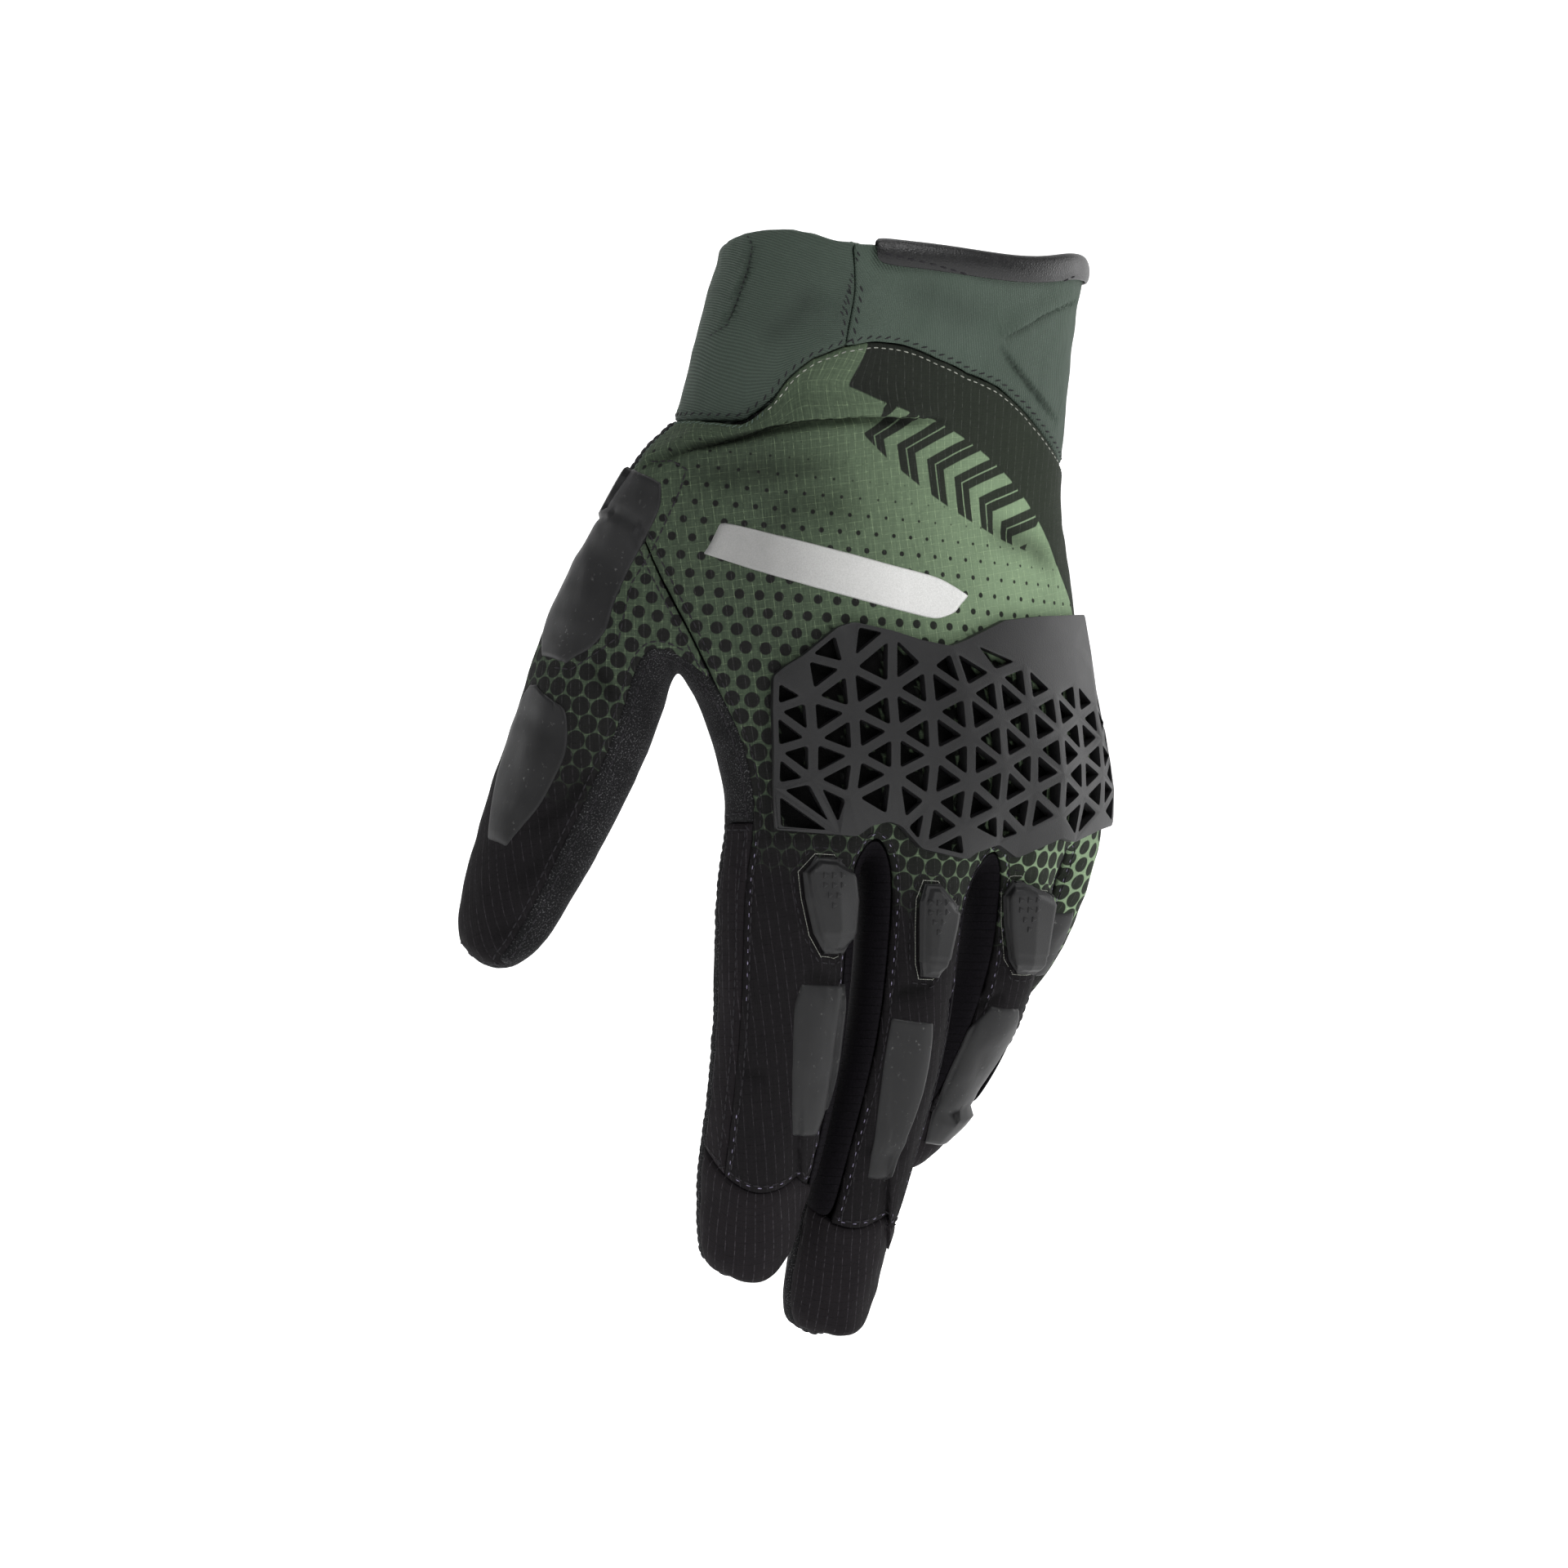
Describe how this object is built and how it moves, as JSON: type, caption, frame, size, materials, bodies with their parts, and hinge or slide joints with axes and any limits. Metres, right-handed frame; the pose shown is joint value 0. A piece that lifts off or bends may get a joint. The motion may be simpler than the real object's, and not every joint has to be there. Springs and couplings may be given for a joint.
{
  "type": "motorcycle glove",
  "caption": "Left-hand motorcycle glove in its worn shape, short stretch cuff, pierced moulded knuckle guard, rubber finger inserts and grip prints.",
  "frame": {"origin": "middle of the cuff's mouth, where the wrist goes in", "axes": "+Z out of the cuff's mouth, so that the fingers point to -Z; -Y is the way the picture looks at the back of the hand, which is turned about 30 degrees about Z, with the thumb towards -X"},
  "size_m": [0.1456, 0.0977, 0.2434],
  "materials": {
    "printed_ripstop": "green ripstop cloth with a printed dark dot pattern",
    "black_ripstop": "near-black ripstop cloth, fine square grid",
    "suede": "dark grey synthetic suede with light speckle",
    "stretch_knit": "grey-green stretch knit",
    "gusset_cloth": "black-purple stretch cloth between the fingers",
    "binding_leather": "black smooth synthetic leather, soft sheen",
    "moulded_rubber": "dark grey moulded rubber, satin",
    "printed_rubber": "dark grey smooth rubber print, satin",
    "reflective_film": "silver reflective film"
  },
  "bodies": {
    "root": {"back_panel": "printed_ripstop", "cuff": "stretch_knit", "cuff_binding": "binding_leather", "cuff_tab": "stretch_knit", "finger_print_index": "printed_rubber", "finger_print_little": "printed_rubber", "finger_print_middle": "printed_rubber", "finger_print_ring": "printed_rubber", "gusset_1": "gusset_cloth", "gusset_2": "gusset_cloth", "gusset_3": "gusset_cloth", "index_side": "black_ripstop", "index_tip": "black_ripstop", "knuckle_guard": "moulded_rubber", "knuckle_insert_index": "moulded_rubber", "knuckle_insert_middle": "moulded_rubber", "knuckle_insert_ring": "moulded_rubber", "little_tip": "black_ripstop", "middle_tip": "black_ripstop", "palm_panel": "suede", "reflective_badge": "reflective_film", "ring_tip": "black_ripstop", "thumb_panel": "printed_ripstop", "thumb_print_lower": "printed_rubber", "thumb_print_upper": "printed_rubber"}
  },
  "joints": []
}
